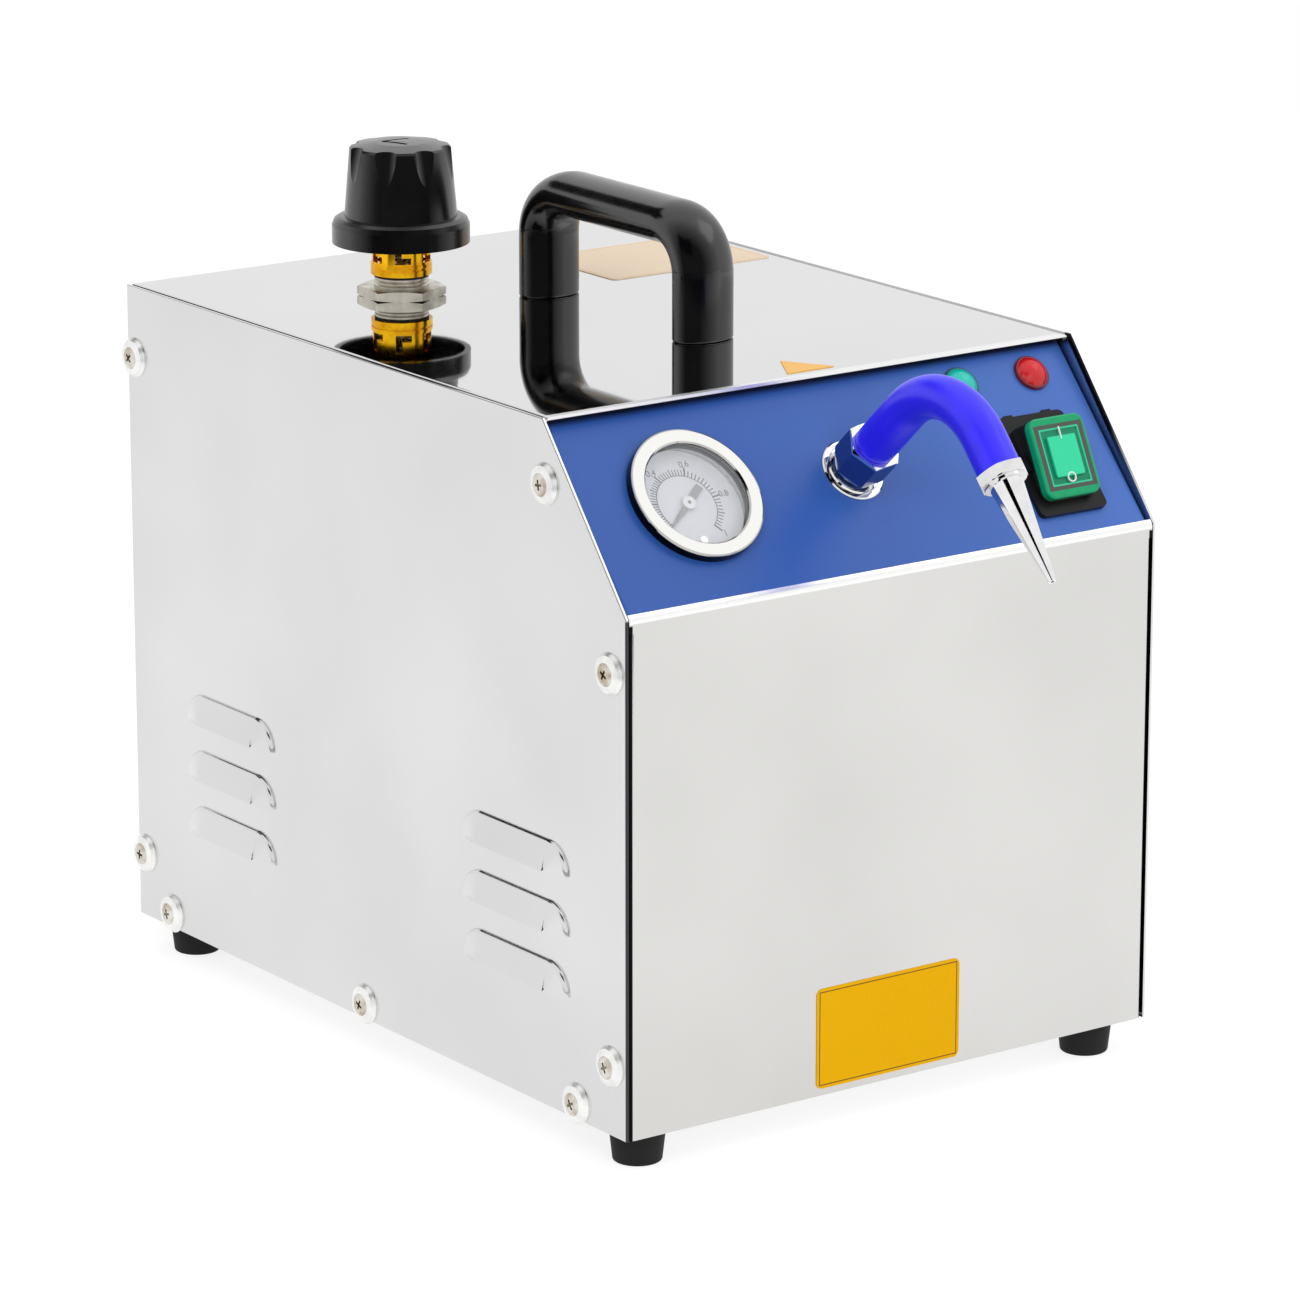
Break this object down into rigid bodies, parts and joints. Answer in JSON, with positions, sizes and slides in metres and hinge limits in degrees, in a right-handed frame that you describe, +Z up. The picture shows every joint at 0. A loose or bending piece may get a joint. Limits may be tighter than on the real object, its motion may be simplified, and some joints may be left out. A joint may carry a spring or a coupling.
{
  "type": "jewelry steam cleaner",
  "caption": "Counter-top steam cleaner: steel cabinet, sloped blue panel with gauge, lamps, rocker switch and curved steam spout, screw filler cap and carrying handle on top.",
  "frame": {"origin": "on the supporting surface, under the centre of the whole machine's outline", "axes": "+Z up, -Y towards the operator and the spout's tip, +X to the right of somebody facing the control panel"},
  "size_m": [0.248, 0.4614, 0.3281],
  "materials": {
    "steel_side": "satin stainless sheet, fine grain",
    "steel_polished": "mirror-polished stainless sheet",
    "steel_plain": "plain stainless",
    "zinc": "bright zinc-plated",
    "panel_blue": "satin blue powder coat",
    "chrome": "polished chrome",
    "rubber_black": "matt black rubber",
    "plastic_black": "gloss black phenolic",
    "plastic_matt_black": "fine-textured black plastic",
    "label_amber": "blank amber film",
    "label_cream": "blank cream film",
    "brass": "bright turned brass",
    "gold": "bright golden lacquered brass",
    "nickel": "warm grey nickel plate",
    "glass_clear": "clear",
    "dial_white": "satin white",
    "needle_black": "satin black",
    "hose_blue": "gloss blue silicone",
    "lens_red": "translucent red",
    "lens_green": "translucent green",
    "rocker_green": "gloss green",
    "insulation": "grey glass-fibre wool",
    "coil": "moulded black",
    "copper": "bare copper",
    "plastic_grey": "grey plastic"
  },
  "bodies": {
    "cabinet": {"side_panel_left": "steel_side", "side_panel_right": "steel_side", "front_panel": "steel_side", "top_cover": "steel_polished", "rear_panel": "steel_plain", "base_tray": "steel_plain", "control_panel": "panel_blue", "side_screws": "zinc", "cup_washers": "chrome", "cabinet_bolts": "zinc", "feet": "rubber_black", "handle": "plastic_black", "label_front": "label_amber", "labels_top": "label_cream", "filler_neck": "nickel", "filler_locknuts": "nickel", "gauge_bezel": "chrome", "gauge_glass": "glass_clear", "gauge_case": "steel_plain", "gauge_dial": "dial_white", "gauge_movement": "brass", "gauge_clamp": "zinc", "spout_washer": "chrome", "spout_fitting": "chrome", "spout_nut": "chrome", "lamp_red": "lens_red", "lamp_green": "lens_green", "lamp_holders": "plastic_matt_black", "switch_housing": "plastic_matt_black", "boiler": "steel_plain", "boiler_jacket": "insulation", "boiler_mounts": "steel_plain", "heater": "steel_plain", "boiler_controls": "plastic_grey", "safety_valve": "brass", "steam_tubes": "copper", "solenoid_valve": "brass", "solenoid_coil": "coil", "drain_valve_body": "brass", "drain_spigot": "brass", "power_inlet": "plastic_matt_black", "electrical_contacts": "zinc", "pedal_socket": "steel_plain", "control_modules": "plastic_grey"},
    "cap_seat": {"cap_seal": "rubber_black"},
    "cap_relief": {"relief_poppet": "brass"},
    "cap": {"cap_knob": "plastic_black", "vent_cage": "gold", "relief_spring": "steel_plain"},
    "rocker": {"rocker_cap": "rocker_green", "rocker_window": "lens_green", "rocker_boot": "rubber_black"},
    "needle": {"gauge_needle": "needle_black"},
    "spout": {"spout_pipe": "steel_plain", "spout_sleeve": "hose_blue", "spout_ferrule": "chrome", "nozzle": "chrome"},
    "drain_handle": {"drain_ball": "chrome", "drain_lever": "zinc"},
    "plunger": {"solenoid_plunger": "steel_plain"}
  },
  "joints": [
    {"name": "cap_pull", "type": "slide", "parent": "cabinet", "child": "cap_seat", "axis": [0, 0, 1], "range_m": [0, 0.045]},
    {"name": "cap_rise", "type": "slide", "parent": "cap_seat", "child": "cap_relief", "axis": [0, 0, 1], "range_m": [0, 0.00726]},
    {"name": "cap_turn", "type": "hinge", "parent": "cap_relief", "child": "cap", "pos_m": [-0.0442, 0.1087, 0.2683], "axis": [0, 0, 1], "range_deg": [0, 1440]},
    {"name": "rocker_tilt", "type": "hinge", "parent": "cabinet", "child": "rocker", "pos_m": [0.087, -0.12583, 0.23017], "axis": [-1, 0, 0], "range_deg": [0, 32]},
    {"name": "needle_sweep", "type": "hinge", "parent": "cabinet", "child": "needle", "pos_m": [-0.0693, -0.11174, 0.23318], "axis": [0, 0.7403, -0.6723], "range_deg": [0, 270], "stiffness_Nm_per_rad": 0.0005},
    {"name": "spout_swivel", "type": "hinge", "parent": "cabinet", "child": "spout", "pos_m": [0.0015, -0.11558, 0.23639], "axis": [0, -0.7403, 0.6723], "range_deg": [-30, 30]},
    {"name": "drain_turn", "type": "hinge", "parent": "cabinet", "child": "drain_handle", "pos_m": [-0.0442, 0.2017, 0.062], "axis": [0, 0, 1], "range_deg": [0, 90]},
    {"name": "plunger_lift", "type": "slide", "parent": "cabinet", "child": "plunger", "axis": [1, 0, 0], "range_m": [0, 0.002], "stiffness_N_per_m": 200}
  ],
  "couplings": [
    {"joint": "cap_rise", "follows": "cap_turn", "m_per_rad": 0.00028871}
  ]
}
